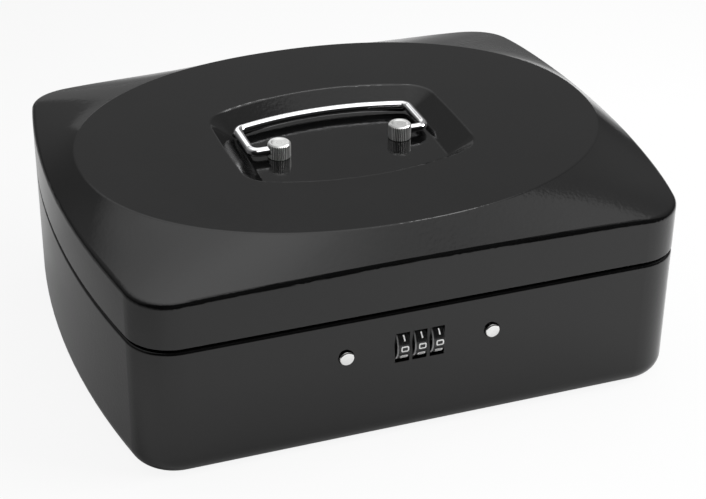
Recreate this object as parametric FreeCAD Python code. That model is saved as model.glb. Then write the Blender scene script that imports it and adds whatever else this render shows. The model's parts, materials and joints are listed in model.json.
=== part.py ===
import FreeCAD, Part
import math
import os

# Cash box with a three-dial lock and two release buttons, in millimetres.
# The origin is the middle of the underside, +Z is up, the lock faces -Y and +X is to its right.

# Body: straight front and back, bowed ends, pressed from one gauge of steel.
body_width = 250.0           # across the middle of the bowed ends
body_depth = 198.0           # front to back
body_height = 90.0           # table to the flat crown
end_bow = 12.0               # bulge of each end past its corners
corner_radius = 19.5         # upright corners, seen from above
sheet = 1.0                  # steel thickness

# Base: a tray with a rounded foot, a shoulder and an upstand that the lid closes over.
shoulder_radius = 1.4
foot_radius = 7.5
upstand_height = 7.0         # above the shoulder
lid_clearance = 0.8          # lid wall to upstand

# Lid: upright rim, then shoulders that slope up to an oval crown.
lid_height = 31.4            # shoulder of the base to the crown
seam_gap = 1.4               # shoulder of the base to the edge of the lid
crown_rise = 9.0             # upright rim to crown, at the middle of the front
crown_side = 11.6            # body to crown at the middle of each end
crown_face = 14.0            # body to crown at the middle of the front and the back
rim_radius = 2.5
crown_power = 2.15           # 2 is a true ellipse, more is squarer
crown_radius = 1.8
crown_facets = 3             # steps that round the crown's edge
flare_width = 3.0            # how much wider than the body the slopes would run
flare_depth = 6.0
flare_power = 9.0

# Pan: the recess in the crown that takes the folded handle.
pan_width = 104.0
pan_depth = 83.4
pan_shift = -2.2             # middle of the lid to the middle of the pan
pan_sink = 8.0
pan_run = 11.0               # how far its walls lean in, from rim to floor
pan_corner = 13.5
pan_face_radius = 118.0      # bow of its long edges
pan_end_radius = 600.0
pan_rim_radius = 2.0
pan_floor_radius = 2.0

# Carry handle: a bent wire between two posts.
wire = 4.0
arm_spread = 78.8            # between the middles of the arms
grip_reach = 28.2            # pivot to the middle of the grip
grip_radius = 135.0
wire_bend = 3.6
pivot_rise = 3.2             # pan floor to the pivot
pivot_shift = -1.3           # middle of the lid to the pivot
post_spread = 54.8
post_size = 10.0
post_height = 6.7
post_teeth = 36
tooth_depth = 0.35
post_chamfer = 0.7
post_dish = 0.35
screw_size = 3.0
screw_bite = 5.6             # length of the screw inside the post
screw_head = 5.6
screw_head_height = 2.0
washer_size = 9.0
washer_thick = 0.8

# Hinges: riveted outside the flat back.
hinge_spread = 124.0         # between the middles of the two hinges
hinge_width = 36.0
hinge_leaf = 1.2
hinge_leaf_height = 17.0
leaf_corner = 1.8
barrel_radius = 2.6
barrel_gap = 0.3
pin_size = 2.6
pin_cap = 3.9
pin_cap_width = 0.8
lid_knuckle = 16.0
rivet_size = 3.0
rivet_head = 5.6
rivet_head_height = 1.1
rivet_spread = 22.0          # between the two rivets of a leaf

# Dials: three numbered wheels behind windows in the front wall.
lock_drop = 16.5             # shoulder of the base down to the middle of dials and buttons
lock_shift = -1.3            # middle of the box to the middle of the lock
dial_size = 15.0
dial_width = 5.4
dial_pitch = 7.45
dial_stand_out = 2.1
dial_chamfer = 0.45
dial_marks = 10
grip_groove = 0.3
window_side = 0.35           # dial to the sides of its window
window_gap = 0.4             # dial to the top of its window
window_foot = 1.0            # dial to the foot of its window
shaft_size = 3.0
sleeve_size = 6.0
sleeve_disc = 8.0
sleeve_disc_width = 1.5
gate_notch = 2.0
gate_bite = 1.0

# Push buttons, with a latch hook riveted to the inner end of each.
button_size = 6.1
button_hole = 6.7
button_spread = 62.1
button_stand_out = 1.6
button_travel = 2.4
button_edge = 0.7            # rounding of the cap
button_dome = 0.12           # rise of the cap inside that rounding
stem_size = 4.0
collar_size = 9.4
collar_width = 1.0
rivet_tail = 2.8
spring_wire = 0.5
spring_size = 6.4
spring_turns = 4.0
spring_sides = 8             # flats that stand for its round wire
hook_width = 5.0
hook_thick = 1.5
hook_gap = 2.25              # button guide to the hook plate
hook_foot = 5.0              # how far the hook plate reaches below the stem
nose_height = 2.5
nose_bite = 1.0              # how far the nose passes through the catch

# Lock case on the inside of the front wall.
case_width = 92.0
case_depth = 22.0
case_drop = 14.0             # dial middle to the underside of the case
case_wall = 1.6
case_top_gap = 1.2           # case to the underside of the shoulder
guide_depth = 7.2            # front of the case plate to the front of a button guide
guide_wall = 1.2
guide_width = 13.0
cover_thick = 1.0
cover_screw = 2.5
screw_depth = 7.5            # length of a cover screw in its boss
boss_size = 5.0
stud_size = 3.0
stud_spread = 44.0
nut_size = 5.5
nut_height = 2.4
lever_length = 9.0
lever_height = 6.0
lever_thick = 1.6
lever_finger = 3.0
lever_travel = 4.0
lever_offset = 18.0          # middle of the lock to the finger
detent_thick = 0.5
detent_width = 4.0

# Lid catch: a bracket inside the front of the lid.
catch_width = 84.0
catch_thick = 1.0
catch_rise = 10.0            # height of the face welded to the lid
catch_lift = 1.9             # upstand to the underside of the shelf
catch_reach = 5.0            # lid wall to the front of the hanging flange
catch_bar = 1.3              # metal left under each window
catch_play = 0.5             # nose to window, above and below

# Coin tray on two rails: its ends are straight, so the bow of the box leaves room for fingers.
tray_end_gap = 12.5          # tray to the middle of each bowed end
tray_front_gap = 8.0         # lock cover to tray
tray_back_gap = 7.0          # tray to the back of the box
tray_drop = 4.6              # shoulder of the base down to the top of the tray
tray_depth = 24.0
tray_wall = 1.8
tray_front_corner = 8.0
tray_back_corner = 16.0
cup_count = 5
cup_divider = 2.0
cup_margin = 5.0             # tray outline to the cups
cup_scoop = 15.0
cup_round = 3.0
rail_lap = 2.5               # how far a rail reaches under the tray
rail_height = 10.0
rail_length = 110.0

running_fit = 0.05
seat_fit = 0.02
slide_gap = 0.3
edge_share = 0.4             # rounding of a cut sheet edge, as a share of the sheet
near = 0.01                  # how close an edge must lie to a height to be picked

V = FreeCAD.Vector
UP = V(0, 0, 1)
RIGHT = V(1, 0, 0)
BACK = V(0, 1, 0)


def box(x0, x1, y0, y1, z0, z1):
    return Part.makeBox(x1 - x0, y1 - y0, z1 - z0, V(x0, y0, z0))


def rod(radius, start, length, axis):
    return Part.makeCylinder(radius, length, start, axis)


def arc(start, middle, stop):
    return Part.Arc(start, middle, stop).toShape()


def fuse(shapes):
    return shapes[0].multiFuse(shapes[1:]).removeSplitter() if len(shapes) > 1 else shapes[0]


def turned(profile, base, axis_turn=None):
    # A solid of revolution from (radius, height) points, stood on base and turned to its axis.
    points = [V(r, 0, h) for r, h in profile]
    face = Part.Face(Part.makePolygon(points + points[:1]))
    solid = face.revolve(V(0, 0, 0), UP, 360)
    if axis_turn:
        solid.rotate(V(0, 0, 0), *axis_turn)
    solid.translate(base)
    return solid


def rounded(shape, radius, chosen):
    edges = [edge for edge in shape.Edges if chosen(edge.BoundBox)]
    return shape.makeFillet(radius, edges) if edges and radius > 0 else shape


def mirrored(shape):
    return shape.mirror(V(0, 0, 0), RIGHT)


TO_BACK = (RIGHT, -90)       # turns a profile's height from +Z to +Y
TO_RIGHT = (BACK, 90)        # turns a profile's height from +Z to +X


class Outline:
    # A plan of two faces, two bowed ends and four round corners. Insets share its centres.

    def __init__(self, width, depth, end_radius, corner, face_radius=0.0):
        self.half_width = width / 2
        self.half_depth = depth / 2
        self.end_radius = end_radius
        self.face_radius = face_radius
        self.corner = corner
        self.end_middle = V(self.half_width - end_radius, 0, 0)
        reach = end_radius - corner
        if face_radius:
            self.face_middle = V(0, self.half_depth - face_radius, 0)
            span = self.face_middle - self.end_middle
            gap = span.Length
            along = (reach ** 2 - (face_radius - corner) ** 2 + gap ** 2) / (2 * gap)
            aside = math.sqrt(reach ** 2 - along ** 2)
            across = V(-span.y, span.x, 0) * (aside / gap)
            self.corner_middle = self.end_middle + span * (along / gap) + across
            if self.corner_middle.x < 0 or self.corner_middle.y < 0:
                self.corner_middle -= across * 2
            self.face_normal = (self.corner_middle - self.face_middle).normalize()
        else:
            y = self.half_depth - corner
            self.corner_middle = V(self.end_middle.x + math.sqrt(reach ** 2 - y ** 2), y, 0)
            self.face_normal = V(0, 1, 0)
        self.end_normal = (self.corner_middle - self.end_middle).normalize()

    def wire(self, z, inset=0.0):
        radius = self.corner - inset
        end = self.corner_middle + self.end_normal * radius
        face = self.corner_middle + self.face_normal * radius
        middle = self.corner_middle + (self.end_normal + self.face_normal).normalize() * radius
        half_width = self.half_width - inset
        half_depth = self.half_depth - inset

        def at(point, sx, sy):
            return V(point.x * sx, point.y * sy, z)

        def face_edge(side):
            start, stop = at(face, side, side), at(face, -side, side)
            if self.face_radius:
                return arc(start, V(0, side * half_depth, z), stop)
            return Part.makeLine(start, stop)

        edges = []
        for side in (1, -1):
            edges.append(arc(at(end, side, -side), V(side * half_width, 0, z), at(end, side, side)))
            edges.append(arc(at(end, side, side), at(middle, side, side), at(face, side, side)))
            edges.append(face_edge(side))
            edges.append(arc(at(face, -side, side), at(middle, -side, side), at(end, -side, side)))
        return Part.Wire(edges)

    def prism(self, z0, z1, inset=0.0):
        return Part.Face(self.wire(z0, inset)).extrude(UP * (z1 - z0))

    def frustum(self, z0, inset0, z1, inset1):
        return Part.makeLoft([self.wire(z0, inset0), self.wire(z1, inset1)], True, True)


half_depth = body_depth / 2
shoulder_height = body_height - lid_height
lock_height = shoulder_height - lock_drop
tray_top = shoulder_height - tray_drop
tray_bottom = tray_top - tray_depth
rim_height = body_height - crown_rise
crown_width = body_width - 2 * crown_side
crown_depth = body_depth - 2 * crown_face
face_y = -half_depth
wall_y = face_y + sheet
end_radius = (half_depth ** 2 + end_bow ** 2) / (2 * end_bow)
body = Outline(body_width, body_depth, end_radius, corner_radius)
pan = Outline(pan_width, pan_depth, pan_end_radius, pan_corner, pan_face_radius)
upstand_inset = sheet + lid_clearance
upstand_top = shoulder_height + upstand_height
lid_edge = shoulder_height + seam_gap
pan_floor = body_height - pan_sink
pivot_height = pan_floor + pivot_rise
seam_middle = shoulder_height + seam_gap / 2
hinge_axis_y = half_depth + barrel_gap + barrel_radius
dial_radius = dial_size / 2
dial_axis = V(0, face_y - dial_stand_out + dial_radius, lock_height)
dial_places = {"left": -dial_pitch, "middle": 0.0, "right": dial_pitch}
case_front = wall_y + case_wall
case_back = wall_y + case_depth
case_floor = lock_height - case_drop
case_ceiling = shoulder_height - sheet - case_top_gap
guide_front = wall_y + guide_depth
guide_back = guide_front + guide_wall
collar_back = case_front + slide_gap + collar_width
hook_front = guide_back + hook_gap
catch_front = wall_y + catch_reach
nose_tip = catch_front - nose_bite
nose_top = upstand_top - slide_gap
nose_bottom = nose_top - nose_height
tray_half = body_width / 2 - tray_end_gap
tray_front = case_back + cover_thick + tray_front_gap
tray_back = half_depth - tray_back_gap


# Body shells

def base_shell():
    outer = body.prism(0, shoulder_height)
    outer = rounded(outer, foot_radius, lambda b: b.ZMax < near)
    outer = rounded(outer, shoulder_radius, lambda b: b.ZMin > shoulder_height - near)
    room = body.prism(sheet, shoulder_height - sheet, sheet)
    room = rounded(room, foot_radius - sheet, lambda b: b.ZMax < sheet + near)
    upstand = body.prism(shoulder_height - sheet, upstand_top, upstand_inset)
    mouth = body.prism(shoulder_height - 2 * sheet, upstand_top + sheet, upstand_inset + sheet)
    shell = outer.fuse(upstand).cut(room.fuse(mouth)).removeSplitter()
    holes = [front_window(lock_shift + place) for place in dial_places.values()]
    for side in (-1, 1):
        start = V(lock_shift + side * button_spread / 2, face_y - sheet, lock_height)
        holes.append(rod(button_hole / 2, start, 3 * sheet, BACK))
        holes += [rivet_hole(x, 0) for x in rivet_places(side)]
    return shell.cut(holes)


def front_window(x):
    # The dial passes the inside of the wall at its reach above and below its middle.
    reach = math.sqrt(dial_radius ** 2 - (dial_axis.y - wall_y) ** 2)
    half = dial_width / 2 + window_side
    return box(x - half, x + half, face_y - sheet, wall_y + sheet,
               lock_height - reach - window_foot, lock_height + reach + window_gap)


def oval(width, depth, power, z):
    # A four-curve oval: a circle squared up by its power.
    quarter_steps = 12
    ends = [V(0, width, 0), V(-depth, 0, 0), V(0, -width, 0), V(depth, 0, 0)]
    tangents = [end * (math.pi / 4) for end in ends]
    parameters = [step / quarter_steps for step in range(quarter_steps + 1)]
    edges = []
    for quarter in range(4):
        points = []
        for step in parameters:
            angle = (quarter + step) * math.pi / 2
            x_share = abs(2 * math.cos(angle) / width) ** power
            y_share = abs(2 * math.sin(angle) / depth) ** power
            radius = (x_share + y_share) ** (-1 / power)
            points.append(V(radius * math.cos(angle), radius * math.sin(angle), z))
        curve = Part.BSplineCurve()
        curve.interpolate(Points=points, Parameters=parameters, InitialTangent=tangents[quarter],
                          FinalTangent=tangents[(quarter + 1) % 4], Scale=False)
        edges.append(curve.toShape())
    return Part.Wire(edges)


def crowned(inset):
    # The lid's solid form, moved in from its outer skin by an inset.
    slope = math.atan2(crown_rise, crown_face)
    aside = inset * math.tan(slope / 2)
    foot = body_height - crown_rise * (1 + flare_depth / 2 / crown_face) - inset
    flare = (body_width + flare_width - 2 * aside, body_depth + flare_depth - 2 * aside, flare_power)
    radius = crown_radius - inset
    sections = [oval(*flare, lid_edge - 2 * sheet), oval(*flare, foot)]
    for step in range(crown_facets + 1):
        angle = slope * (1 - step / crown_facets)
        out = 2 * (radius * (math.sin(angle) - math.tan(slope / 2)) - aside)
        height = body_height - inset - radius * (1 - math.cos(angle))
        sections.append(oval(crown_width + out, crown_depth + out, crown_power, height))
    wall = body.prism(lid_edge - (sheet if inset else 0), body_height + sheet, inset)
    form = wall.common(Part.makeLoft(sections, True, True))
    return rounded(form, rim_radius - inset, lambda b: b.ZMin > foot - 1 and b.ZMax < rim_height + 1)


def pan_form(inset):
    # The sunk handle pan, grown by an inset for the inside of the sheet.
    lean = pan_run / pan_sink
    aside = inset * math.tan(math.atan2(pan_sink, pan_run) / 2)
    floor = pan_floor - inset
    top = body_height + sheet
    form = pan.frustum(floor, pan_run - aside, top, pan_run - aside - lean * (top - floor))
    form.translate(V(0, pan_shift, 0))
    return rounded(form, pan_floor_radius + inset, lambda b: b.ZMax < floor + near)


def lid_shell():
    outer = crowned(0.0).cut(pan_form(0.0))
    reach = pan_width / 2 + sheet
    outer = rounded(outer, pan_rim_radius,
                    lambda b: b.ZMin > body_height - near and b.XMax < reach and b.XMin > -reach)
    shell = outer.cut(crowned(sheet).cut(pan_form(sheet)))
    shell = rounded(shell, edge_share * sheet, lambda b: b.ZMax < lid_edge + near)
    holes = []
    for side in (-1, 1):
        start = V(side * post_spread / 2, pivot_shift, pan_floor - 2 * sheet)
        holes.append(rod(screw_size / 2 + running_fit, start, 3 * sheet, UP))
        holes += [rivet_hole(x, 1) for x in rivet_places(side)]
    return shell.cut(holes)


# Hinges

def rivet_places(side):
    return [side * hinge_spread / 2 + offset for offset in (-rivet_spread / 2, rivet_spread / 2)]


def rivet_height(on_lid):
    reach = barrel_radius + barrel_gap + 0.6 * (hinge_leaf_height - barrel_radius)
    return seam_middle + reach if on_lid else seam_middle - reach


def rivet_hole(x, on_lid):
    return rod(rivet_size / 2 + seat_fit, V(x, half_depth - 2 * sheet, rivet_height(on_lid)),
               2 * sheet + 2 * hinge_leaf, BACK)


def hinge_rivets(on_lid):
    grip = sheet + hinge_leaf
    shank, head = rivet_size / 2, rivet_head / 2
    profile = [(0, -0.7 * rivet_head_height), (0.8 * head, -0.7 * rivet_head_height), (head, 0), (shank, 0),
               (shank, grip), (head, grip), (0.8 * head, grip + 0.7 * rivet_head_height),
               (0.4 * head, grip + rivet_head_height), (0, grip + rivet_head_height)]
    places = rivet_places(-1) + rivet_places(1)
    return [turned(profile, V(x, half_depth - sheet, rivet_height(on_lid)), TO_BACK) for x in places]


def hinge_leaf_solid(side, on_lid):
    # A plate with rolled knuckles: one in the middle on the lid, one at each end on the base.
    x = side * hinge_spread / 2
    half, inner = hinge_width / 2, lid_knuckle / 2
    away = 1 if on_lid else -1
    runs = [(-inner, inner)] if on_lid else [(-half, -inner - slide_gap), (inner + slide_gap, half)]
    clear = seam_middle + away * (barrel_radius + barrel_gap)
    tip = seam_middle + away * (barrel_radius + hinge_leaf_height)
    plate = box(x - half, x + half, half_depth, half_depth + hinge_leaf, min(clear, tip), max(clear, tip))
    plate = rounded(plate, leaf_corner, lambda b: b.XLength + b.ZLength < near and abs(b.ZMin - tip) < near)
    solids = [plate]
    neck = seam_middle + away * (seam_gap + slide_gap) / 2
    for start, stop in runs:
        solids.append(box(x + start, x + stop, half_depth, half_depth + hinge_leaf,
                          min(neck, clear), max(neck, clear)))
        solids.append(rod(barrel_radius, V(x + start, hinge_axis_y, seam_middle), stop - start, RIGHT))
    bore = pin_size / 2 + (running_fit if on_lid else seat_fit)
    tools = [rod(bore, V(x - half, hinge_axis_y, seam_middle), hinge_width, RIGHT)]
    tools += [rivet_hole(place, on_lid) for place in rivet_places(side)]
    return fuse(solids).cut(tools)


def hinge_pin(side):
    half, radius = hinge_width / 2, pin_size / 2
    cap, end = pin_cap / 2, hinge_width + pin_cap_width
    profile = [(0, -pin_cap_width), (cap, -pin_cap_width), (cap, 0), (radius, 0), (radius, hinge_width),
               (cap, hinge_width), (cap, end), (0, end)]
    return turned(profile, V(side * hinge_spread / 2 - half, hinge_axis_y, seam_middle), TO_RIGHT)


# Carry handle

def handle_post(side):
    # A straight-knurled stud with a chamfered, slightly dished top.
    radius = post_size / 2
    profile = [(0, 0), (radius - tooth_depth, 0), (radius, tooth_depth),
               (radius, post_height - post_chamfer), (radius - post_chamfer, post_height),
               (radius - 2 * post_chamfer, post_height),
               (radius - 3 * post_chamfer, post_height - post_dish), (0, post_height - post_dish)]
    post = turned(profile, V(0, 0, 0))
    points = []
    for index in range(2 * post_teeth):
        angle = index * math.pi / post_teeth
        reach = radius if index % 2 == 0 else radius - tooth_depth
        points.append(V(reach * math.cos(angle), reach * math.sin(angle), 0))
    knurl = Part.Face(Part.makePolygon(points + points[:1])).extrude(UP * post_height)
    post = post.common(knurl)
    socket_start = V(screw_size / 2 + slide_gap, 0, pivot_rise)
    post = post.cut([rod(screw_size / 2 + seat_fit, V(0, 0, 0), screw_bite, UP),
                     rod(wire / 2 + running_fit, socket_start, radius, RIGHT)])
    post.translate(V(post_spread / 2, pivot_shift, pan_floor))
    return post if side > 0 else mirrored(post)


def carry_handle():
    half = arm_spread / 2
    start = post_spread / 2 + screw_size / 2 + 2 * slide_gap
    turn = half - wire_bend
    grip_middle = grip_reach - grip_radius
    lean = math.sqrt((grip_radius - wire_bend) ** 2 - turn ** 2)
    elbow = V(turn, grip_middle + lean, 0)
    share = grip_radius / (grip_radius - wire_bend)
    grip_end = V(turn * share, grip_middle + lean * share, 0)
    outward = (grip_end - elbow).normalize()
    elbow_mid = elbow + (outward + RIGHT).normalize() * wire_bend
    slant = wire_bend * math.sqrt(0.5)

    def at(x, y):
        return V(x, y + pivot_shift, pivot_height)

    def half_path(s):
        bend = at(s * (turn + slant), wire_bend - slant)
        return [Part.makeLine(at(s * start, 0), at(s * turn, 0)),
                arc(at(s * turn, 0), bend, at(s * half, wire_bend)),
                Part.makeLine(at(s * half, wire_bend), at(s * half, elbow.y)),
                arc(at(s * half, elbow.y), at(s * elbow_mid.x, elbow_mid.y), at(s * grip_end.x, grip_end.y))]

    grip = arc(at(grip_end.x, grip_end.y), at(0, grip_reach), at(-grip_end.x, grip_end.y))
    path = Part.Wire(Part.__sortEdges__(half_path(1) + [grip] + half_path(-1)))
    first = path.OrderedVertexes[0].Point
    ring = Part.Wire(Part.makeCircle(wire / 2, first, RIGHT))
    return path.makePipeShell([ring], True, False)


def post_screws():
    head, shank = screw_head / 2, screw_size / 2
    grip = sheet + washer_thick
    end = grip + screw_bite - seat_fit
    profile = [(0, -screw_head_height), (0.7 * head, -screw_head_height), (head, -0.6 * screw_head_height),
               (head, 0), (shank, 0), (shank, end), (0, end)]
    return [turned(profile, V(side * post_spread / 2, pivot_shift, pan_floor - grip)) for side in (-1, 1)]


def post_washers():
    bore = screw_size / 2 + running_fit
    profile = [(bore, 0), (washer_size / 2, 0), (washer_size / 2, washer_thick), (bore, washer_thick)]
    low = pan_floor - sheet - washer_thick
    return [turned(profile, V(side * post_spread / 2, pivot_shift, low)) for side in (-1, 1)]


# Dials

def dial_wheel(x):
    half, bore = dial_width / 2, sleeve_size / 2 + seat_fit
    rim = dial_radius - dial_chamfer
    profile = [(bore, -half), (rim, -half), (dial_radius, dial_chamfer - half),
               (dial_radius, half - dial_chamfer), (rim, half), (bore, half)]
    wheel = turned(profile, dial_axis + RIGHT * x, TO_RIGHT)
    grooves = []
    for index in range(dial_marks):
        angle = (index + 0.5) * 2 * math.pi / dial_marks
        middle = dial_axis + V(x - half, dial_radius * math.cos(angle), dial_radius * math.sin(angle))
        grooves.append(rod(grip_groove, middle, dial_width, RIGHT))
    return wheel.cut(grooves)


def disc_place(x):
    # The left side of a sleeve's disc, midway in the space between two dials.
    return x + dial_width / 2 + (dial_pitch - dial_width - sleeve_disc_width) / 2


def clutch_sleeve(x):
    start, disc = x - dial_width / 2, disc_place(x)
    bore, tube, rim = shaft_size / 2 + running_fit, sleeve_size / 2, sleeve_disc / 2
    profile = [(bore, start), (tube, start), (tube, disc), (rim, disc), (rim, disc + sleeve_disc_width),
               (bore, disc + sleeve_disc_width)]
    sleeve = turned(profile, dial_axis, TO_RIGHT)
    low = dial_axis.z - rim
    notch = box(disc - slide_gap, disc + sleeve_disc_width + slide_gap, dial_axis.y - gate_notch / 2,
                dial_axis.y + gate_notch / 2, low - slide_gap, low + gate_bite)
    return sleeve.cut(notch)


def web_places():
    # The two webs that carry the dial shaft, as the inner face of each.
    last = disc_place(dial_pitch) + sleeve_disc_width + slide_gap
    return [(last, last + case_wall), (-dial_pitch - dial_width / 2 - slide_gap - case_wall,
                                       -dial_pitch - dial_width / 2 - slide_gap)]


def dial_shaft():
    right, left = web_places()
    return rod(shaft_size / 2, V(left[0], dial_axis.y, dial_axis.z), right[1] - left[0], RIGHT)


def gate_bar():
    # The bar whose teeth drop into the notches when all three dials stand at the code.
    floor = case_floor + case_wall
    top = dial_axis.z - sleeve_disc / 2 - slide_gap
    web = floor + 0.6 * (top - floor)
    half = gate_notch / 2 - slide_gap
    front, back = dial_axis.y - half, dial_axis.y + half
    right, left = web_places()
    teeth = [box(left[1] + slide_gap, right[0] - slide_gap, front, back, floor, web)]
    for x in dial_places.values():
        teeth.append(box(disc_place(x), disc_place(x) + sleeve_disc_width, front, back, web, top))
    return fuse(teeth)


def bent_strip(points, thick, x0, x1):
    # A strip of sheet bent along a path of (y, z) points.
    path = Part.makePolygon([V(x0, y, z) for y, z in points])
    section = path.makeOffset2D(thick / 2, 0, True, True)
    return section.extrude(RIGHT * (x1 - x0))


def detent_spring():
    # A comb of three leaves that press the dials from behind.
    floor = case_floor + case_wall + detent_thick / 2
    back = dial_axis.y + dial_radius + slide_gap + detent_thick / 2
    foot = back + 3 * detent_thick
    half = detent_width / 2
    tip = [(foot, floor), (back, lock_height), (foot, lock_height + detent_width)]
    leaves = [bent_strip(tip, detent_thick, x - half, x + half) for x in dial_places.values()]
    base = box(-dial_pitch - half, dial_pitch + half, foot - detent_thick / 2, foot + 2 * detent_width,
               floor - detent_thick / 2, floor + detent_thick / 2)
    return fuse([base] + leaves)


# Push buttons and latch

def push_button(side):
    # A domed cap, a collar behind the wall, a stem and a riveted tail.
    cap, stem, tail = button_size / 2, stem_size / 2, rivet_tail / 2
    front = face_y - button_stand_out
    back = hook_front + hook_thick
    middle = V(0, front, 0)
    flat = cap - button_edge
    slant = button_edge * math.sqrt(0.5)
    rim = V(flat, front + button_dome, 0)
    brow = V(cap, front + button_dome + button_edge, 0)
    dome = arc(middle, V(flat / 2, front + button_dome / 4, 0), rim)
    edge = arc(rim, V(flat + slant, brow.y - slant, 0), brow)
    collar_front = case_front + slide_gap
    steps = [(cap, collar_front), (collar_size / 2, collar_front), (collar_size / 2, collar_back),
             (stem, collar_back), (stem, hook_front), (tail, hook_front), (tail, back), (stem, back),
             (stem, back + 0.4 * stem), (0, back + 0.4 * stem)]
    corners = [brow] + [V(r, y, 0) for r, y in steps] + [middle]
    section = Part.Wire([dome, edge] + Part.makePolygon(corners).Edges)
    button = Part.Face(section).revolve(V(0, 0, 0), BACK, 360)
    button.translate(V(side * button_spread / 2, 0, lock_height))
    return button


def latch_hook(side):
    # An upright plate whose nose reaches forward through the catch on the lid, sloped on top.
    x = side * button_spread / 2
    back = hook_front + hook_thick
    outline = [(hook_front, lock_height - hook_foot), (back, lock_height - hook_foot), (back, nose_top),
               (hook_front, nose_top), (nose_tip, nose_bottom + 0.4 * nose_height), (nose_tip, nose_bottom),
               (hook_front, nose_bottom)]
    points = [V(x - hook_width / 2, y, z) for y, z in outline]
    plate = Part.Face(Part.makePolygon(points + points[:1])).extrude(RIGHT * hook_width)
    hole = rod(rivet_tail / 2 + seat_fit, V(x, hook_front - 1, lock_height), hook_thick + 2, BACK)
    return plate.cut(hole)


def button_spring(side):
    # A compression spring round the stem, between collar and guide.
    gap = spring_wire / 2 + seat_fit
    length = guide_front - collar_back - 2 * gap
    radius = (spring_size - spring_wire) / 2
    coil = Part.makeHelix(length / spring_turns, length, radius)
    turns = [2 * math.pi * (step + 0.5) / spring_sides for step in range(spring_sides)]
    points = [V(radius + spring_wire / 2 * math.cos(turn), 0, spring_wire / 2 * math.sin(turn))
              for turn in turns]
    ring = Part.makePolygon(points + points[:1])
    spring = Part.Wire(coil).makePipeShell([ring], True, True)
    spring.rotate(V(0, 0, 0), *TO_BACK)
    spring.translate(V(side * button_spread / 2, collar_back + gap, lock_height))
    return spring


# Lock case

def boss_places():
    inset = case_wall + boss_size / 2
    low, high = case_floor + inset, case_ceiling - inset
    return [(x, z) for x in (inset - case_width / 2, case_width / 2 - inset) for z in (low, high)]


def lock_case():
    # A moulded tray, open at the back, with guides for the buttons and webs for the shaft.
    half = case_width / 2
    case = box(-half, half, wall_y, case_back, case_floor, case_ceiling)
    case = case.cut(box(case_wall - half, half - case_wall, case_front, case_back + 1,
                        case_floor + case_wall, case_ceiling - case_wall))
    room = (case_floor + case_wall, case_ceiling - case_wall)
    solids = [case]
    for low, high in web_places():
        solids.append(box(low, high, case_front, dial_axis.y + dial_radius, *room))
    for side in (-1, 1):
        x = side * button_spread / 2
        solids.append(box(x - guide_width / 2, x + guide_width / 2, guide_front, guide_back, *room))
    for x, z in boss_places():
        solids.append(rod(boss_size / 2, V(x, case_front, z), case_back - case_front, BACK))
        wall_x = half - case_wall if x > 0 else case_wall - half
        wall_z = room[1] if z > lock_height else room[0]
        solids.append(box(min(x, wall_x), max(x, wall_x), case_front, case_back,
                          min(z, wall_z), max(z, wall_z)))
    right, left = web_places()
    opening = dial_radius + slide_gap
    shaft_start = V(left[0] - 1, dial_axis.y, dial_axis.z)
    tools = [box(left[1], right[0], wall_y - 1, case_front + 1, lock_height - opening, lock_height + opening),
             rod(shaft_size / 2 + seat_fit, shaft_start, right[1] - left[0] + 2, RIGHT)]
    screw_hole = cover_screw / 2 + seat_fit
    for x, z in boss_places():
        tools.append(rod(screw_hole, V(x, case_back - screw_depth, z), screw_depth + 1, BACK))
    stem_hole = stem_size / 2 + running_fit
    hook_stop = hook_front + hook_thick + button_travel + slide_gap
    for side in (-1, 1):
        x = side * button_spread / 2
        slot = hook_width / 2 + slide_gap
        tools.append(rod(button_hole / 2, V(x, wall_y - 1, lock_height), case_wall + 2, BACK))
        tools.append(rod(stem_hole, V(x, guide_front - 1, lock_height), guide_wall + 2, BACK))
        tools.append(box(x - slot, x + slot, hook_front - slide_gap, hook_stop,
                         case_ceiling - 2 * case_wall, case_ceiling + 1))
        tools.append(rod(stud_size / 2 + running_fit, V(side * stud_spread / 2, wall_y - 1, lock_height),
                         case_wall + 2, BACK))
    return fuse(solids).cut(tools)


def lever_slot():
    # The opening in the cover through which the code lever's finger passes.
    half = lever_finger / 2 + slide_gap
    return box(lever_offset - half, lever_offset + half + lever_travel, case_back - 1,
               case_back + cover_thick + 1, lock_height - half, lock_height + half)


def lock_cover():
    half = case_width / 2
    cover = box(-half, half, case_back, case_back + cover_thick, case_floor, case_ceiling)
    cover = rounded(cover, boss_size / 2, lambda b: b.XLength + b.ZLength < near)
    tools = [lever_slot()]
    tools += [rod(cover_screw / 2 + running_fit, V(x, case_back - 1, z), cover_thick + 2, BACK)
              for x, z in boss_places()]
    return cover.cut(tools)


def lock_screws():
    shank, head = cover_screw / 2, 0.9 * cover_screw
    top = screw_depth + cover_thick
    profile = [(0, 0), (shank, 0), (shank, top), (head, top), (head, top + 0.4 * cover_screw),
               (0.7 * head, top + 0.6 * cover_screw), (0, top + 0.6 * cover_screw)]
    return [turned(profile, V(x, case_back - screw_depth, z), TO_BACK) for x, z in boss_places()]


def lock_studs():
    # Threaded studs welded to the inside of the front wall.
    radius = stud_size / 2
    length = case_wall + nut_height + 2 * radius
    profile = [(0, 0), (radius, 0), (radius, length - 0.4 * radius), (0.6 * radius, length), (0, length)]
    return [turned(profile, V(side * stud_spread / 2, wall_y, lock_height), TO_BACK) for side in (-1, 1)]


def lock_nuts():
    radius = nut_size / math.sqrt(3)
    nuts = []
    for side in (-1, 1):
        middle = V(side * stud_spread / 2, case_front, lock_height)
        turns = [step * math.pi / 3 for step in range(6)]
        points = [middle + V(radius * math.cos(turn), 0, radius * math.sin(turn)) for turn in turns]
        nut = Part.Face(Part.makePolygon(points + points[:1])).extrude(BACK * nut_height)
        nuts.append(nut.cut(rod(stud_size / 2 + seat_fit, middle - BACK, nut_height + 2, BACK)))
    return nuts


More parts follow.
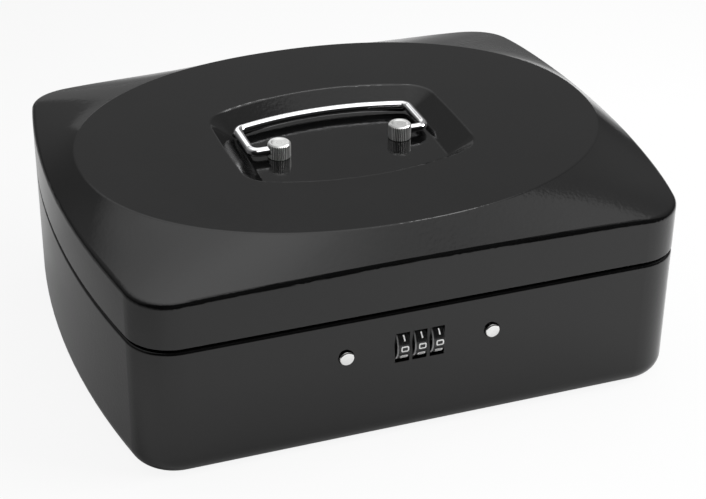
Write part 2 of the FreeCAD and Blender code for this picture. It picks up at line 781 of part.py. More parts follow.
def code_lever():
    # The slide that frees the sleeves for a new code, with a finger through the cover.
    half_finger = lever_finger / 2
    back = case_back - seat_fit
    plate = box(lever_offset - lever_length / 2, lever_offset + lever_length / 2, back - lever_thick, back,
                lock_height - lever_height / 2, lock_height + lever_height / 2)
    tip = case_back + cover_thick + lever_finger
    finger = box(lever_offset - half_finger, lever_offset + half_finger, back - lever_thick, tip,
                 lock_height - half_finger, lock_height + half_finger)
    finger = rounded(finger, 0.25 * lever_finger, lambda b: b.YMin > case_back + cover_thick)
    return fuse([plate, finger])


def lid_catch():
    # A bent bracket: a face on the lid, a shelf over the upstand and a flange with two windows.
    half = catch_width / 2
    shelf = upstand_top + catch_lift
    flange_low = nose_bottom - catch_play - catch_bar
    bracket = fuse([
        box(-half, half, wall_y, wall_y + catch_thick, shelf, shelf + catch_rise),
        box(-half, half, wall_y, catch_front + catch_thick, shelf, shelf + catch_thick),
        box(-half, half, catch_front, catch_front + catch_thick, flange_low, shelf + catch_thick)])
    slot = hook_width / 2 + catch_play
    tools = []
    for side in (-1, 1):
        x = side * button_spread / 2
        tools.append(box(x - slot, x + slot, catch_front - 1, catch_front + catch_thick + 1,
                         nose_bottom - catch_play, nose_top + catch_play))
    return bracket.cut(tools)


# Coin tray

def tray_rail(side):
    # An angle whose flange follows the bow of the end wall, with a straight edge under the tray.
    half = rail_length / 2
    ledge = body.prism(tray_bottom - sheet, tray_bottom, sheet)
    ledge = ledge.common(box(tray_half - rail_lap, body_width, -half, half, 0, body_height))
    flange = body.prism(tray_bottom - rail_height, tray_bottom, sheet).cut(
        body.prism(tray_bottom - rail_height, tray_bottom, 2 * sheet))
    rail = fuse([ledge, flange.common(box(0, body_width, -half, half, 0, body_height))])
    return rail if side > 0 else mirrored(rail)


def tray_block(inset, low, high):
    half, front, back = tray_half - inset, tray_front + inset, tray_back - inset
    block = box(-half, half, front, back, low, high)
    for y, radius in ((front, tray_front_corner), (back, tray_back_corner)):
        block = rounded(block, radius - inset,
                        lambda b: b.XLength + b.YLength < near and abs(b.YMin - y) < near)
    return block


def cup(index, grow):
    # One coin compartment: its floor sweeps up at the front and the back.
    usable = 2 * (tray_half - cup_margin)
    width = (usable - (cup_count - 1) * cup_divider) / cup_count
    x0 = -usable / 2 + index * (width + cup_divider) - grow
    x1 = x0 + width + 2 * grow
    front = tray_front + cup_margin - grow
    back = tray_back - cup_margin + grow
    low = tray_bottom + tray_wall - grow
    high = tray_top + (0 if grow else 1)
    scoop = cup_scoop + grow
    slant = scoop * (1 - math.sqrt(0.5))

    def at(y, z):
        return V(x0, y, z)

    section = Part.Wire([
        Part.makeLine(at(front, high), at(front, low + scoop)),
        arc(at(front, low + scoop), at(front + slant, low + slant), at(front + scoop, low)),
        Part.makeLine(at(front + scoop, low), at(back - scoop, low)),
        arc(at(back - scoop, low), at(back - slant, low + slant), at(back, low + scoop)),
        Part.makeLine(at(back, low + scoop), at(back, high)),
        Part.makeLine(at(back, high), at(front, high))])
    form = Part.Face(section).extrude(RIGHT * (x1 - x0))
    return rounded(form, cup_round + grow, lambda b: b.XLength < near and b.ZMin < high - near)


def coin_tray():
    cups = [cup(index, 0.0) for index in range(cup_count)]
    sleeves = fuse([cup(index, tray_wall) for index in range(cup_count)])
    hollow = tray_block(tray_wall, tray_bottom, tray_top - tray_wall).cut(sleeves)
    return tray_block(0.0, tray_bottom, tray_top).cut(hollow).cut(cups)


# Nodes

sides = {"left": -1, "right": 1}
nodes = {
    "base_shell": base_shell(),
    "hinge_rivets_base": hinge_rivets(0),
    "lock_case": lock_case(),
    "lock_cover": lock_cover(),
    "lock_screws": lock_screws(),
    "lock_studs": lock_studs(),
    "lock_nuts": lock_nuts(),
    "dial_shaft": dial_shaft(),
    "gate_bar": gate_bar(),
    "detent_spring": detent_spring(),
    "lid_shell": lid_shell(),
    "lid_catch": lid_catch(),
    "hinge_rivets_lid": hinge_rivets(1),
    "post_screws": post_screws(),
    "post_washers": post_washers(),
    "carry_handle": carry_handle(),
    "code_lever": code_lever(),
    "coin_tray": coin_tray(),
}
for place, x in dial_places.items():
    nodes["dial_wheel_" + place] = dial_wheel(x)
    nodes["clutch_sleeve_" + place] = clutch_sleeve(x)
for place, side in sides.items():
    nodes["hinge_leaf_base_" + place] = hinge_leaf_solid(side, 0)
    nodes["hinge_leaf_lid_" + place] = hinge_leaf_solid(side, 1)
    nodes["hinge_pin_" + place] = hinge_pin(side)
    nodes["handle_post_" + place] = handle_post(side)
    nodes["push_button_" + place] = push_button(side)
    nodes["latch_hook_" + place] = latch_hook(side)
    nodes["button_spring_" + place] = button_spring(side)
    nodes["tray_rail_" + place] = tray_rail(side)

# The lock's pieces are drawn about the middle of the box, then moved to the middle of the lock.
lock_pieces = ("lock_", "dial_", "gate_bar", "detent_spring", "clutch_sleeve", "push_button", "latch_hook",
               "button_spring", "code_lever", "lid_catch")

os.makedirs("parts", exist_ok=True)
for name, shape in nodes.items():
    if isinstance(shape, list):
        shape = Part.makeCompound(shape)
    if name.startswith(lock_pieces):
        shape.translate(RIGHT * lock_shift)
    shape.exportStep("parts/" + name + ".step")
    state = "valid" if shape.isValid() else "INVALID"
    print(name, len(shape.Solids), "solids", round(shape.Volume), "mm3", state)
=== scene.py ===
import json
import math
import bpy
import bmesh
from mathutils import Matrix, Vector


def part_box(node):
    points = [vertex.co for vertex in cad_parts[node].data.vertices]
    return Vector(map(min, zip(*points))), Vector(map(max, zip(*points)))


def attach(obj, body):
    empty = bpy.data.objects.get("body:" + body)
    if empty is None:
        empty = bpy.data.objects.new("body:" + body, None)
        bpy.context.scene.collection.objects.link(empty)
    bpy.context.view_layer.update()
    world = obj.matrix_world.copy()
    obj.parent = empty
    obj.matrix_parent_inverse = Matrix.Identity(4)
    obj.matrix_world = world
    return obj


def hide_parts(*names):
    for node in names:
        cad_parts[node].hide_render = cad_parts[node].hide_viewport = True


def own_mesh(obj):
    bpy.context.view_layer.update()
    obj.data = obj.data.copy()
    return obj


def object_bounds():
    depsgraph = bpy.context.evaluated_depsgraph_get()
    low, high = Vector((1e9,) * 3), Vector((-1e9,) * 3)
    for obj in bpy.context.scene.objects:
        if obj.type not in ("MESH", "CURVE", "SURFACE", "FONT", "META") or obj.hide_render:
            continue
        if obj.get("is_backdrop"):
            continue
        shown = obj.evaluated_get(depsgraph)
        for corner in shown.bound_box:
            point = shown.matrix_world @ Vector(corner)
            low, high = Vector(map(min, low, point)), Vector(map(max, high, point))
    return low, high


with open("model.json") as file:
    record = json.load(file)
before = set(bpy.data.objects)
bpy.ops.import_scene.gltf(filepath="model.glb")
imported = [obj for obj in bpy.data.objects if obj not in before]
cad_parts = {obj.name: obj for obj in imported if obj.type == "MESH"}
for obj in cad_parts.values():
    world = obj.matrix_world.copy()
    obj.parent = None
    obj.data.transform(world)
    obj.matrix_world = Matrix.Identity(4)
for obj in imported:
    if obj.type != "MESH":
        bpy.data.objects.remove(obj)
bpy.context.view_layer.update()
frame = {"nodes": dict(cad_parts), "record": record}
nodes = frame["nodes"]
scene = bpy.context.scene
scene.view_settings.view_transform = "Standard"
print("frame loaded,", len(nodes), "nodes")


# material helpers

# the middle part of a noise value, over which its colours and ranges are spread
spread = {"tint": (0.3, 0.7), "range": (0.25, 0.75)}


def startMaterial(name):
    made = bpy.data.materials.new(name)
    made.use_nodes = True
    tree = made.node_tree
    return made, tree, tree.nodes["Principled BSDF"]


def addNode(tree, kind, **inputs):
    made = tree.nodes.new(kind)
    for name, value in inputs.items():
        made.inputs[name].default_value = value
    return made


def objectPoint(tree):
    return tree.nodes.new("ShaderNodeTexCoord").outputs["Object"]


def stretched(tree, point, scale):
    mapping = addNode(tree, "ShaderNodeMapping", Scale=scale)
    tree.links.new(point, mapping.inputs["Vector"])
    return mapping.outputs["Vector"]


def noise(tree, point, scale, detail=2.0, roughness=0.5):
    made = addNode(tree, "ShaderNodeTexNoise", Scale=scale, Detail=detail, Roughness=roughness)
    tree.links.new(point, made.inputs["Vector"])
    return made.outputs["Fac"]


def spanned(tree, value, start, end):
    # carries a value from one range over to another
    made = tree.nodes.new("ShaderNodeMapRange")
    for name, level in zip(("From Min", "From Max", "To Min", "To Max"), (*start, *end)):
        made.inputs[name].default_value = level
    tree.links.new(value, made.inputs["Value"])
    return made.outputs["Result"]


def ramp(tree, value, ends):
    return spanned(tree, value, spread["range"], ends)


def sums(tree, operation, *values):
    # one arithmetic node, fed by numbers or by other nodes
    made = tree.nodes.new("ShaderNodeMath")
    made.operation = operation
    for place, value in zip(made.inputs, values):
        if isinstance(value, (int, float)):
            place.default_value = value
        else:
            tree.links.new(value, place)
    return made.outputs[0]


def tint(tree, value, dark, light):
    made = tree.nodes.new("ShaderNodeValToRGB")
    for stop, place, colour in zip(made.color_ramp.elements, spread["tint"], (dark, light)):
        stop.position = place
        stop.color = (*colour, 1)
    tree.links.new(value, made.inputs["Fac"])
    return made.outputs["Color"]


def mixColours(tree, factor, first, second):
    made = tree.nodes.new("ShaderNodeMix")
    made.data_type = "RGBA"
    one, two = [socket for socket in made.inputs if socket.type == "RGBA"]
    tree.links.new(factor, made.inputs["Factor"])
    tree.links.new(first, one)
    tree.links.new(second, two)
    return next(socket for socket in made.outputs if socket.type == "RGBA")


def bump(tree, height, depth, under=None):
    made = addNode(tree, "ShaderNodeBump", Strength=1.0, Distance=depth)
    tree.links.new(height, made.inputs["Height"])
    if under is not None:
        tree.links.new(under, made.inputs["Normal"])
    return made.outputs["Normal"]


def addPiece(name, mesh, *coats):
    data = bpy.data.meshes.new(name)
    mesh.to_mesh(data)
    mesh.free()
    for coat in coats:
        data.materials.append(coat)
    made = bpy.data.objects.new(name, data)
    scene.collection.objects.link(made)
    return made


# black stoving paint on the shells

paint = {
    "dark": (0.0032, 0.0032, 0.0033),
    "light": (0.005, 0.005, 0.0051),
    "roughness": (0.07, 0.12),
    "ior": 1.5,
    "cloudScale": 18.0,        # scales are in waves to the metre
    "cloudDetail": 3.0,
    "hazeScale": 45.0,
    "hazeDetail": 4.0,
    "peelScale": 620.0,        # orange peel
    "peelDetail": 1.0,
    "peelDepth": 0.000036,
    "grainScale": 2600.0,
    "grainDetail": 2.0,
    "grainDepth": 0.000003,
}


def blackPaint():
    made, tree, shader = startMaterial("blackPaint")
    point = objectPoint(tree)
    cloud, haze, peel, grain = [noise(tree, point, paint[layer + "Scale"], paint[layer + "Detail"])
                                for layer in ("cloud", "haze", "peel", "grain")]
    tree.links.new(tint(tree, cloud, paint["dark"], paint["light"]), shader.inputs["Base Color"])
    tree.links.new(ramp(tree, haze, paint["roughness"]), shader.inputs["Roughness"])
    waves = bump(tree, peel, paint["peelDepth"])
    tree.links.new(bump(tree, grain, paint["grainDepth"], waves), shader.inputs["Normal"])
    shader.inputs["IOR"].default_value = paint["ior"]
    return made


# bare and plated metals

metals = {
    "chrome": {"dark": (0.88, 0.88, 0.89), "light": (0.93, 0.93, 0.94), "roughness": (0.04, 0.09),
               "scale": 350.0, "stretch": (1, 1, 1), "depth": 0.000002},
    "buttonSteel": {"dark": (0.84, 0.84, 0.83), "light": (0.92, 0.92, 0.91), "roughness": (0.08, 0.14),
                    "scale": 900.0, "stretch": (1, 1, 1), "depth": 0.000002},
    "turnedSteel": {"dark": (0.5, 0.5, 0.49), "light": (0.66, 0.66, 0.65), "roughness": (0.24, 0.36),
                    "scale": 1500.0, "stretch": (1, 1, 0.15), "depth": 0.000004},
    "zincPlate": {"dark": (0.48, 0.49, 0.5), "light": (0.62, 0.63, 0.63), "roughness": (0.26, 0.42),
                  "scale": 260.0, "stretch": (1, 1, 1), "depth": 0.000006},
    "springSteel": {"dark": (0.3, 0.3, 0.31), "light": (0.42, 0.42, 0.43), "roughness": (0.2, 0.32),
                    "scale": 1200.0, "stretch": (0.2, 1, 1), "depth": 0.000003},
    "turnedBrass": {"dark": (0.62, 0.43, 0.16), "light": (0.74, 0.55, 0.26), "roughness": (0.2, 0.32),
                    "scale": 1500.0, "stretch": (0.15, 1, 1), "depth": 0.000004},
}
# clouds of colour, coarser by this share, under the fine marks of the surface
metalNoise = {"cloudShare": 0.3, "cloudDetail": 3.0, "fineDetail": 4.0, "fineRoughness": 0.6}


def metal(name):
    kind = metals[name]
    made, tree, shader = startMaterial(name)
    point = stretched(tree, objectPoint(tree), kind["stretch"])
    cloud = noise(tree, point, kind["scale"] * metalNoise["cloudShare"], metalNoise["cloudDetail"])
    fine = noise(tree, point, kind["scale"], metalNoise["fineDetail"], metalNoise["fineRoughness"])
    tree.links.new(tint(tree, cloud, kind["dark"], kind["light"]), shader.inputs["Base Color"])
    tree.links.new(ramp(tree, fine, kind["roughness"]), shader.inputs["Roughness"])
    tree.links.new(bump(tree, fine, kind["depth"]), shader.inputs["Normal"])
    shader.inputs["Metallic"].default_value = 1.0
    return made


# knurled posts: painted highlights on the teeth over painted shade in the grooves, and turned rings on top

knurl = {
    # painted shade in the grooves and painted highlights on the teeth
    "grooveShade": (0.1, 0.1, 0.1),
    "toothHighlight": (0.86, 0.86, 0.85),
    "ringDark": (0.6, 0.6, 0.59),
    "ringLight": (0.88, 0.88, 0.87),
    "postX": 0.0274,
    "postY": -0.0013,
    "teeth": 36,
    "ringsToMetre": 1400,
    "topFrom": 0.5,            # faces that look up by more than this have the rings
    "sideRoughness": 0.52,
    "topRoughness": 0.36,
}


def knurledSteel():
    made, tree, shader = startMaterial("knurledSteel")
    coordinates = tree.nodes.new("ShaderNodeTexCoord")
    place = tree.nodes.new("ShaderNodeSeparateXYZ")
    facing = tree.nodes.new("ShaderNodeSeparateXYZ")
    tree.links.new(coordinates.outputs["Object"], place.inputs[0])
    tree.links.new(coordinates.outputs["Normal"], facing.inputs[0])
    across = sums(tree, "SUBTRACT", sums(tree, "ABSOLUTE", place.outputs["X"]), knurl["postX"])
    along = sums(tree, "SUBTRACT", place.outputs["Y"], knurl["postY"])
    turn = sums(tree, "MULTIPLY", sums(tree, "ARCTAN2", along, across), knurl["teeth"])
    toothHighlight = sums(tree, "MULTIPLY_ADD", sums(tree, "COSINE", turn), 0.5, 0.5)
    squares = [sums(tree, "POWER", side, 2) for side in (across, along)]
    reach = sums(tree, "SQRT", sums(tree, "ADD", *squares))
    rings = noise(tree, stretched(tree, reach, (knurl["ringsToMetre"],) * 3), 1.0, 2.0)
    isTop = sums(tree, "GREATER_THAN", facing.outputs["Z"], knurl["topFrom"])
    # painted light and shade: the sides are coloured bright on the teeth and dark in the grooves, as a lit
    # knurl looks
    knurlLightAndShade = tint(tree, toothHighlight, knurl["grooveShade"], knurl["toothHighlight"])
    topColour = tint(tree, rings, knurl["ringDark"], knurl["ringLight"])
    tree.links.new(mixColours(tree, isTop, knurlLightAndShade, topColour), shader.inputs["Base Color"])
    tree.links.new(sums(tree, "MULTIPLY_ADD", isTop, knurl["topRoughness"] - knurl["sideRoughness"],
                        knurl["sideRoughness"]), shader.inputs["Roughness"])
    shader.inputs["Metallic"].default_value = 1.0
    return made


# moulded plastics

plastics = {
    "dialBlack": {"dark": (0.006, 0.006, 0.006), "light": (0.011, 0.011, 0.011), "roughness": (0.22, 0.32),
                  "scale": 2200.0, "depth": 0.000004},
    "caseBlack": {"dark": (0.012, 0.012, 0.012), "light": (0.02, 0.02, 0.02), "roughness": (0.42, 0.58),
                  "scale": 1500.0, "depth": 0.00002},
    "trayBlack": {"dark": (0.014, 0.014, 0.015), "light": (0.024, 0.024, 0.025), "roughness": (0.4, 0.55),
                  "scale": 1100.0, "depth": 0.000025},
    "dialWhite": {"dark": (0.86, 0.86, 0.85), "light": (0.94, 0.94, 0.93), "roughness": (0.4, 0.5),
                  "scale": 3000.0, "depth": 0.000004},
    # a lighter grey for the painted highlight on the dials' chamfers
    "dialChamferHighlight": {"dark": (0.4, 0.4, 0.4), "light": (0.5, 0.5, 0.5), "roughness": (0.3, 0.4),
                 "scale": 3000.0, "depth": 0.000004},
}
plasticNoise = {"cloudScale": 60.0, "detail": 3.0}


def plastic(name):
    kind = plastics[name]
    made, tree, shader = startMaterial(name)
    point = objectPoint(tree)
    cloud = noise(tree, point, plasticNoise["cloudScale"], plasticNoise["detail"])
    fine = noise(tree, point, kind["scale"], plasticNoise["detail"])
    tree.links.new(tint(tree, cloud, kind["dark"], kind["light"]), shader.inputs["Base Color"])
    tree.links.new(ramp(tree, fine, kind["roughness"]), shader.inputs["Roughness"])
    tree.links.new(bump(tree, fine, kind["depth"]), shader.inputs["Normal"])
    return made


finishes = {"black_paint": blackPaint(), "chrome": metal("chrome"), "satin_steel": metal("turnedSteel"),
            "zinc_steel": metal("zincPlate"), "spring_steel": metal("springSteel"),
            "brass": metal("turnedBrass"), "dial_plastic": plastic("dialBlack"),
            "case_plastic": plastic("caseBlack"), "tray_plastic": plastic("trayBlack")}
special = {"push_button": metal("buttonSteel"), "handle_post": knurledSteel()}
for row in frame["record"]["subparts"]:
    finish = special.get(row["node"].rpartition("_")[0], finishes[row["material_slot"]])
    for place in nodes[row["node"]].material_slots:
        place.material = finish
print("finishes set")


# white figures on the dials, 0 to the front and rising upwards, and on the left chamfer of each a grey band
# that is a painted highlight

figures = {
    "radius": 0.0075,
    "stroke": 0.00058,
    "width": 0.0033,
    "height": 0.0026,
    "proud": 0.00001,
    "aside": 0.0004,           # middle of the wheel to the middle of a figure
    "axis": (-0.0936, 0.0421),
    "places": {"left": -0.00875, "middle": -0.0013, "right": 0.00615},
    "stepDegrees": 36,
    "mitreLimit": 0.45,        # keeps the sharp corners of a figure short
    "bendStep": 0.0004,        # longest run up the wheel before a figure bends with it
    "halfWidth": 0.0027,
    "chamfer": 0.00045,
    "rimSteps": 72,
}
# strokes in a box from -1 to 1 both ways; a closed stroke ends on its first point
strokes = {
    0: [[(-1, -0.6), (-0.8, -1), (0.8, -1), (1, -0.6), (1, 0.6), (0.8, 1), (-0.8, 1), (-1, 0.6), (-1, -0.6)]],
    1: [[(-0.05, 1), (0.05, -1)]],
    2: [[(-1, 0.6), (-0.8, 1), (0.8, 1), (1, 0.6), (1, 0.2), (-1, -1), (1, -1)]],
    3: [[(-1, 1), (0.8, 1), (1, 0.6), (1, 0.35), (0.8, 0), (1, -0.35), (1, -0.6), (0.8, -1), (-1, -1)],
        [(-0.4, 0), (0.8, 0)]],
    4: [[(0.5, -1), (0.5, 1), (-1, -0.4), (1, -0.4)]],
    5: [[(1, 1), (-1, 1), (-1, 0.1), (0.8, 0.1), (1, -0.25), (1, -0.65), (0.8, -1), (-1, -1)]],
    6: [[(0.9, 1), (-0.7, 1), (-1, 0.6), (-1, -0.6), (-0.8, -1), (0.8, -1), (1, -0.65), (1, -0.25),
         (0.8, 0.05), (-1, 0.05)]],
    7: [[(-1, 1), (1, 1), (1, 0.7), (-0.2, -1)]],
    8: [[(-0.8, 0), (-1, 0.35), (-1, 0.65), (-0.8, 1), (0.8, 1), (1, 0.65), (1, 0.35), (0.8, 0), (-0.8, 0)],
        [(-0.8, 0), (-1, -0.35), (-1, -0.65), (-0.8, -1), (0.8, -1), (1, -0.65), (1, -0.35), (0.8, 0)]],
    9: [[(1, -0.05), (-0.8, -0.05), (-1, 0.25), (-1, 0.65), (-0.8, 1), (0.8, 1), (1, 0.65), (1, -0.6),
         (0.7, -1), (-0.9, -1)]],
}


def strokeEdges(points, half):
    # left and right edge points of a stroke, mitred at its corners
    closed = points[0] == points[-1]
    count = len(points)
    pairs = []
    for index, point in enumerate(points):
        before = points[index - 1] if index else (points[-2] if closed else None)
        after = points[index + 1] if index + 1 < count else (points[1] if closed else None)
        ways = []
        if before is not None:
            ways.append((Vector(point) - Vector(before)).normalized())
        if after is not None:
            ways.append((Vector(after) - Vector(point)).normalized())
        along = sum(ways, Vector((0, 0))).normalized()
        side = Vector((-along.y, along.x))
        reach = half / max(figures["mitreLimit"], side.dot(Vector((-ways[0].y, ways[0].x))))
        start = Vector(point)
        if before is None:
            start -= along * half
        if after is None:
            start += along * half
        pairs.append((start + side * reach, start - side * reach))
    return pairs


def aroundDial(x, reach, angle):
    axisY, axisZ = figures["axis"]
    return Vector((x, axisY - reach * math.cos(angle), axisZ + reach * math.sin(angle)))


def addFigure(mesh, number, middle, centreX):
    # lays one figure on the wheel, as a thin skin that follows its curve
    def onWheel(point):
        return aroundDial(centreX + figures["aside"] + point.x, figures["radius"] + figures["proud"],
                          middle + point.y / figures["radius"])

    half = figures["stroke"] / 2
    spanX = figures["width"] / 2 - half
    spanY = figures["height"] / 2 - half
    for stroke in strokes[number]:
        scaled = [(x * spanX, y * spanY) for x, y in stroke]
        fine = []
        for first, second in zip(scaled, scaled[1:]):
            steps = max(1, math.ceil(abs(second[1] - first[1]) / figures["bendStep"]))
            fine += [(first[0] + (second[0] - first[0]) * step / steps,
                      first[1] + (second[1] - first[1]) * step / steps) for step in range(steps)]
        fine.append(scaled[-1])
        rows = [(mesh.verts.new(onWheel(left)), mesh.verts.new(onWheel(right)))
                for left, right in strokeEdges(fine, half)]
        for one, two in zip(rows, rows[1:]):
            mesh.faces.new((one[0], one[1], two[1], two[0]))


def addChamferHighlight(mesh, centreX):
    # a grey band over the left chamfer of the wheel, a painted highlight where the chamfer catches the light
    start = centreX - figures["halfWidth"]
    inner = figures["radius"] - figures["chamfer"]
    lift = figures["proud"]
    band = [(start - lift, inner + lift), (start + figures["chamfer"] - lift, figures["radius"] + lift)]
    turns = [2 * math.pi * step / figures["rimSteps"] for step in range(figures["rimSteps"])]
    rows = [[mesh.verts.new(aroundDial(x, reach, turn)) for x, reach in band] for turn in turns]
    for one, two in zip(rows, rows[1:] + rows[:1]):
        for side in range(len(band) - 1):
            face = mesh.faces.new((one[side], one[side + 1], two[side + 1], two[side]))
            # the grey band, a painted highlight
            face.material_index = 1
            face.smooth = True


figureWhite, chamferHighlight = plastic("dialWhite"), plastic("dialChamferHighlight")
for place, centreX in figures["places"].items():
    mesh = bmesh.new()
    for number in strokes:
        addFigure(mesh, number, number * math.radians(figures["stepDegrees"]), centreX)
    addChamferHighlight(mesh, centreX)
    bmesh.ops.recalc_face_normals(mesh, faces=mesh.faces)
    piece = addPiece("dial_figures_and_highlight_" + place, mesh, figureWhite, chamferHighlight)
    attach(piece, "dial_" + place)
print("dial figures laid")


# return springs for the buttons, wound in the boxes of the CAD springs

coils = {
    "wire": 0.0005,
    "turns": 4,
    "stepsToTurn": 28,
    "sides": 8,                # round the wire
    "travel": 0.0024,          # of a button
}


def addCoil(mesh, low, high):
    # a wire wound along Y, from one corner of the spring's box to the other
    thick = coils["wire"] / 2
    middle, reach = (low + high) / 2, (high.x - low.x) / 2 - thick
    start, length = low.y + thick, high.y - low.y - coils["wire"]
    along = Vector((0, 1, 0))
    steps = coils["turns"] * coils["stepsToTurn"]
    rounds = [2 * math.pi * side / coils["sides"] for side in range(coils["sides"])]
    rings = []
    for step in range(steps + 1):
        turn = 2 * math.pi * step / coils["stepsToTurn"]
        out = Vector((math.cos(turn), 0, math.sin(turn)))
        centre = Vector((middle.x, start + length * step / steps, middle.z)) + out * reach
        rings.append([mesh.verts.new(centre + thick * (out * math.cos(bend) + along * math.sin(bend)))
                      for bend in rounds])
    for one, two in zip(rings, rings[1:]):
        for side in range(coils["sides"]):
            after = (side + 1) % coils["sides"]
            mesh.faces.new((one[side], one[after], two[after], two[side])).smooth = True
    mesh.faces.new(rings[0])
    mesh.faces.new(rings[-1])


for place in ("left", "right"):
    low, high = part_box("button_spring_" + place)
    mesh = bmesh.new()
    addCoil(mesh, low, high)
    bmesh.ops.recalc_face_normals(mesh, faces=mesh.faces)
    piece = addPiece("button_coil_" + place, mesh, finishes["spring_steel"])
    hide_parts("button_spring_" + place)
    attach(piece, "base")
    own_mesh(piece)
print("button springs wound")


# studio: pale floor, with painted shade further off, under a soft dome, brightest overhead and dark in front
# and at the horizon

posts = ("handle_post_left", "handle_post_right")
brightMetal = ("carry_handle", *posts)
studio = {
    "floorSize": 6.0,
    "floorNear": 0.96,
    "floorFarShade": 0.3,           # painted shade: the floor's colour darkens further off, most of all to the left and behind
    "floorRoughness": 0.9,
    "fadeMiddle": (0.15, -0.3),
    "fadeStretch": (1.5, 1.0),
    "fade": (0.45, 0.85),
    "white": 0.9,              # share of plain white that the camera sees
    "gleam": 0.065,            # and that reflections see of the floor
    "roomGleam": 0.02,         # and of the room
    "domeTop": (0.05, 0.27, 0.96),
    "domeStrength": 2.2,
    "domeFront": (-0.36, -0.2),    # the dome ends here, in front of the box
    # how near to the dome's top, as a cosine, and how bright there
    "domeSteps": [(0.0, 0.01), (0.34, 0.05), (0.5, 0.09), (0.6, 0.115), (0.66, 0.128), (0.72, 0.14),
                  (0.9, 0.46), (0.96, 0.6), (1.0, 0.78)],
    "softEdge": [(0.85, 0.4)],
    "crispEdge": [(0.8, 0.155), (0.85, 0.19), (0.867, 0.42)],
    "crispFrom": (0.25, 0.42),     # how far to the right the edge turns crisp
    "panelDepth": 2.5,         # rays with more bounces than this miss the panels
    "lamps": [
        {"name": "rightKey", "at": (1.5, -0.45, 0.85), "to": (0, 0, 0.02),
         "size": (1.2, 1.2), "power": 36.0, "mirrored": False},
        {"name": "edgeStrip", "at": (0.41, 0.56, 1.18), "to": (0, 0, 0.08),
         "size": (0.42, 0.11), "power": 0.6},
        {"name": "backSweep", "at": (0.6, 1.6, 0.2), "to": (0.4, 0, 0.1),
         "size": (1.6, 0.36), "power": 0.33},
        {"name": "panelRight", "at": (1.5, -0.45, 0.85), "to": (0, 0, 0.08),
         "size": (0.8, 0.8), "power": 29.0, "only": brightMetal},
        {"name": "panelBehind", "at": (-0.01, 0.95, 0.31), "to": (-0.01, 0, 0.08),
         "size": (0.74, 0.7), "power": 1.45, "only": brightMetal},
        {"name": "panelAbove", "at": (0.2, -0.5, 0.9), "to": (0, 0, 0.08),
         "size": (1.3, 0.5), "power": 3.5, "only": brightMetal},
        {"name": "panelFront", "at": (-0.3, -1.0, 0.5), "to": (0, 0, 0.08),
         "size": (0.6, 0.4), "power": 3.6, "only": posts},
    ],
}


def showWhite(tree, gleam, shaded, white, output):
    # plain white for the camera, a little of it in reflections, and none for the light on the box
    light = tree.nodes.new("ShaderNodeLightPath").outputs
    mirrored = sums(tree, "MAXIMUM", light["Is Glossy Ray"], light["Is Transmission Ray"])
    share = sums(tree, "MULTIPLY_ADD", light["Is Camera Ray"], studio["white"],
                 sums(tree, "MULTIPLY", mirrored, gleam))
    mix = tree.nodes.new("ShaderNodeMixShader")
    for place, source in zip(mix.inputs, (share, shaded.outputs[0], white.outputs[0])):
        tree.links.new(source, place)
    tree.links.new(mix.outputs[0], tree.nodes[output].inputs["Surface"])


def makeFloor():
    made, tree, shader = startMaterial("paleFloor")
    stretch = (*studio["fadeStretch"], 1)
    shift = [-at * by for at, by in zip((*studio["fadeMiddle"], 0), stretch)]
    middle = addNode(tree, "ShaderNodeMapping", Location=shift, Scale=stretch)
    tree.links.new(objectPoint(tree), middle.inputs["Vector"])
    away = tree.nodes.new("ShaderNodeVectorMath")
    away.operation = "LENGTH"
    tree.links.new(middle.outputs["Vector"], away.inputs[0])
    # painted shade: the floor's colour fades darker away from the box
    fade = spanned(tree, away.outputs["Value"], studio["fade"], (studio["floorNear"], studio["floorFarShade"]))
    tree.links.new(fade, shader.inputs["Base Color"])
    shader.inputs["Roughness"].default_value = studio["floorRoughness"]
    glow = addNode(tree, "ShaderNodeEmission", Color=(1, 1, 1, 1), Strength=1.0)
    showWhite(tree, sums(tree, "MULTIPLY", fade, studio["gleam"]), shader, glow, "Material Output")
    mesh = bmesh.new()
    bmesh.ops.create_grid(mesh, x_segments=1, y_segments=1, size=studio["floorSize"] / 2)
    floor = addPiece("floor", mesh, made)
    floor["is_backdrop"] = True


def domeLevels(tree, near, edge):
    made = tree.nodes.new("ShaderNodeValToRGB")
    stops = made.color_ramp.elements
    given = len(stops)
    for index, (place, level) in enumerate(sorted(studio["domeSteps"] + edge)):
        stop = stops[index] if index < given else stops.new(place)
        stop.position = place
        stop.color = (level, level, level, 1)
    tree.links.new(near, made.inputs["Fac"])
    return made.outputs["Color"]


def makeDome():
    world = bpy.data.worlds.new("softDome")
    scene.world = world
    world.use_nodes = True
    tree = world.node_tree
    toward = tree.nodes.new("ShaderNodeTexCoord").outputs["Generated"]
    near = tree.nodes.new("ShaderNodeVectorMath")
    near.operation = "DOT_PRODUCT"
    near.inputs[1].default_value = Vector(studio["domeTop"]).normalized()
    tree.links.new(toward, near.inputs[0])
    sides = tree.nodes.new("ShaderNodeSeparateXYZ")
    tree.links.new(toward, sides.inputs[0])
    right = spanned(tree, sides.outputs["X"], studio["crispFrom"], (0, 1))
    soft, crisp = [domeLevels(tree, near.outputs["Value"], studio[edge])
                   for edge in ("softEdge", "crispEdge")]
    dome = tree.nodes["Background"]
    tree.links.new(mixColours(tree, right, soft, crisp), dome.inputs["Color"])
    front = spanned(tree, sides.outputs["Y"], studio["domeFront"], (0, studio["domeStrength"]))
    tree.links.new(front, dome.inputs["Strength"])
    plain = addNode(tree, "ShaderNodeBackground", Color=(1, 1, 1, 1), Strength=1.0)
    showWhite(tree, studio["roomGleam"], dome, plain, "World Output")


def aimed(along):
    return along.to_track_quat("-Z", "Y").to_euler()


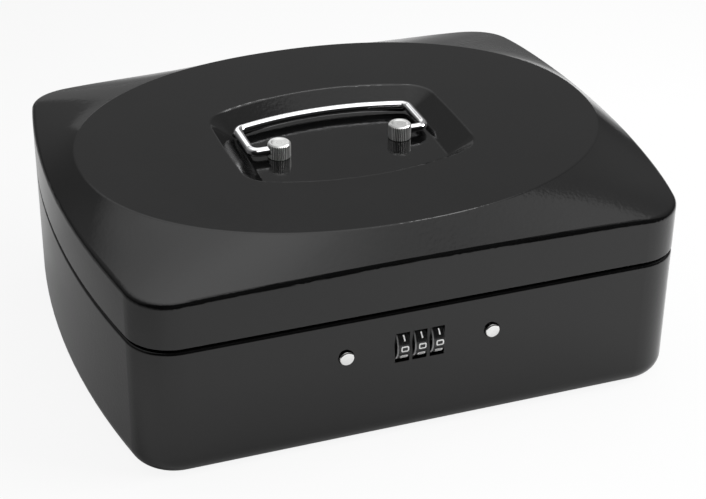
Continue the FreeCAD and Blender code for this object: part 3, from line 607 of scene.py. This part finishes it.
def keepToMetal(lamp, made):
    # a white panel that the bright metal alone mirrors
    lit = bpy.data.collections.new(lamp["name"])
    for name in lamp["only"]:
        lit.objects.link(nodes[name])
    made.light_linking.receiver_collection = lit
    made.visible_diffuse = False
    made.data.use_nodes = True
    tree = made.data.node_tree
    # seen in the metal, and not again in the paint's picture of it
    depth = tree.nodes.new("ShaderNodeLightPath").outputs["Ray Depth"]
    seen = sums(tree, "LESS_THAN", depth, studio["panelDepth"])
    tree.links.new(seen, tree.nodes["Emission"].inputs["Strength"])


def makeLamp(lamp):
    data = bpy.data.lights.new(lamp["name"], "AREA")
    data.shape = "RECTANGLE"
    data.size, data.size_y = lamp["size"]
    data.energy = lamp["power"]
    made = bpy.data.objects.new(lamp["name"], data)
    made.location = lamp["at"]
    made.rotation_euler = aimed(Vector(lamp["to"]) - Vector(lamp["at"]))
    made.visible_camera = False
    made.visible_glossy = lamp.get("mirrored", True)
    scene.collection.objects.link(made)
    if "only" in lamp:
        keepToMetal(lamp, made)


makeFloor()
makeDome()
for lamp in studio["lamps"]:
    makeLamp(lamp)
print("studio ready")


# camera at the photograph's angle

shot = {
    "azimuth": -19.022,
    "elevation": 30.234,
    "distance": 0.8026,
    "target": (-0.015414, -0.002319, 0.038542),
    "sensor": 36.0,
    "lens": 93.398,
    "shift": (0.06554, -0.01239),
    "clip": (0.05, 20.0),
}


def makeCamera():
    data = bpy.data.cameras.new("camera")
    data.sensor_width = shot["sensor"]
    data.lens = shot["lens"]
    data.shift_x, data.shift_y = shot["shift"]
    data.clip_start, data.clip_end = shot["clip"]
    made = bpy.data.objects.new("camera", data)
    turn, tilt = math.radians(shot["azimuth"]), math.radians(shot["elevation"])
    back = Vector((math.sin(turn) * math.cos(tilt), -math.cos(turn) * math.cos(tilt), math.sin(tilt)))
    made.location = Vector(shot["target"]) + back * shot["distance"]
    made.rotation_euler = aimed(-back)
    scene.collection.objects.link(made)
    scene.camera = made


makeCamera()
bpy.context.view_layer.update()
low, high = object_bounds()
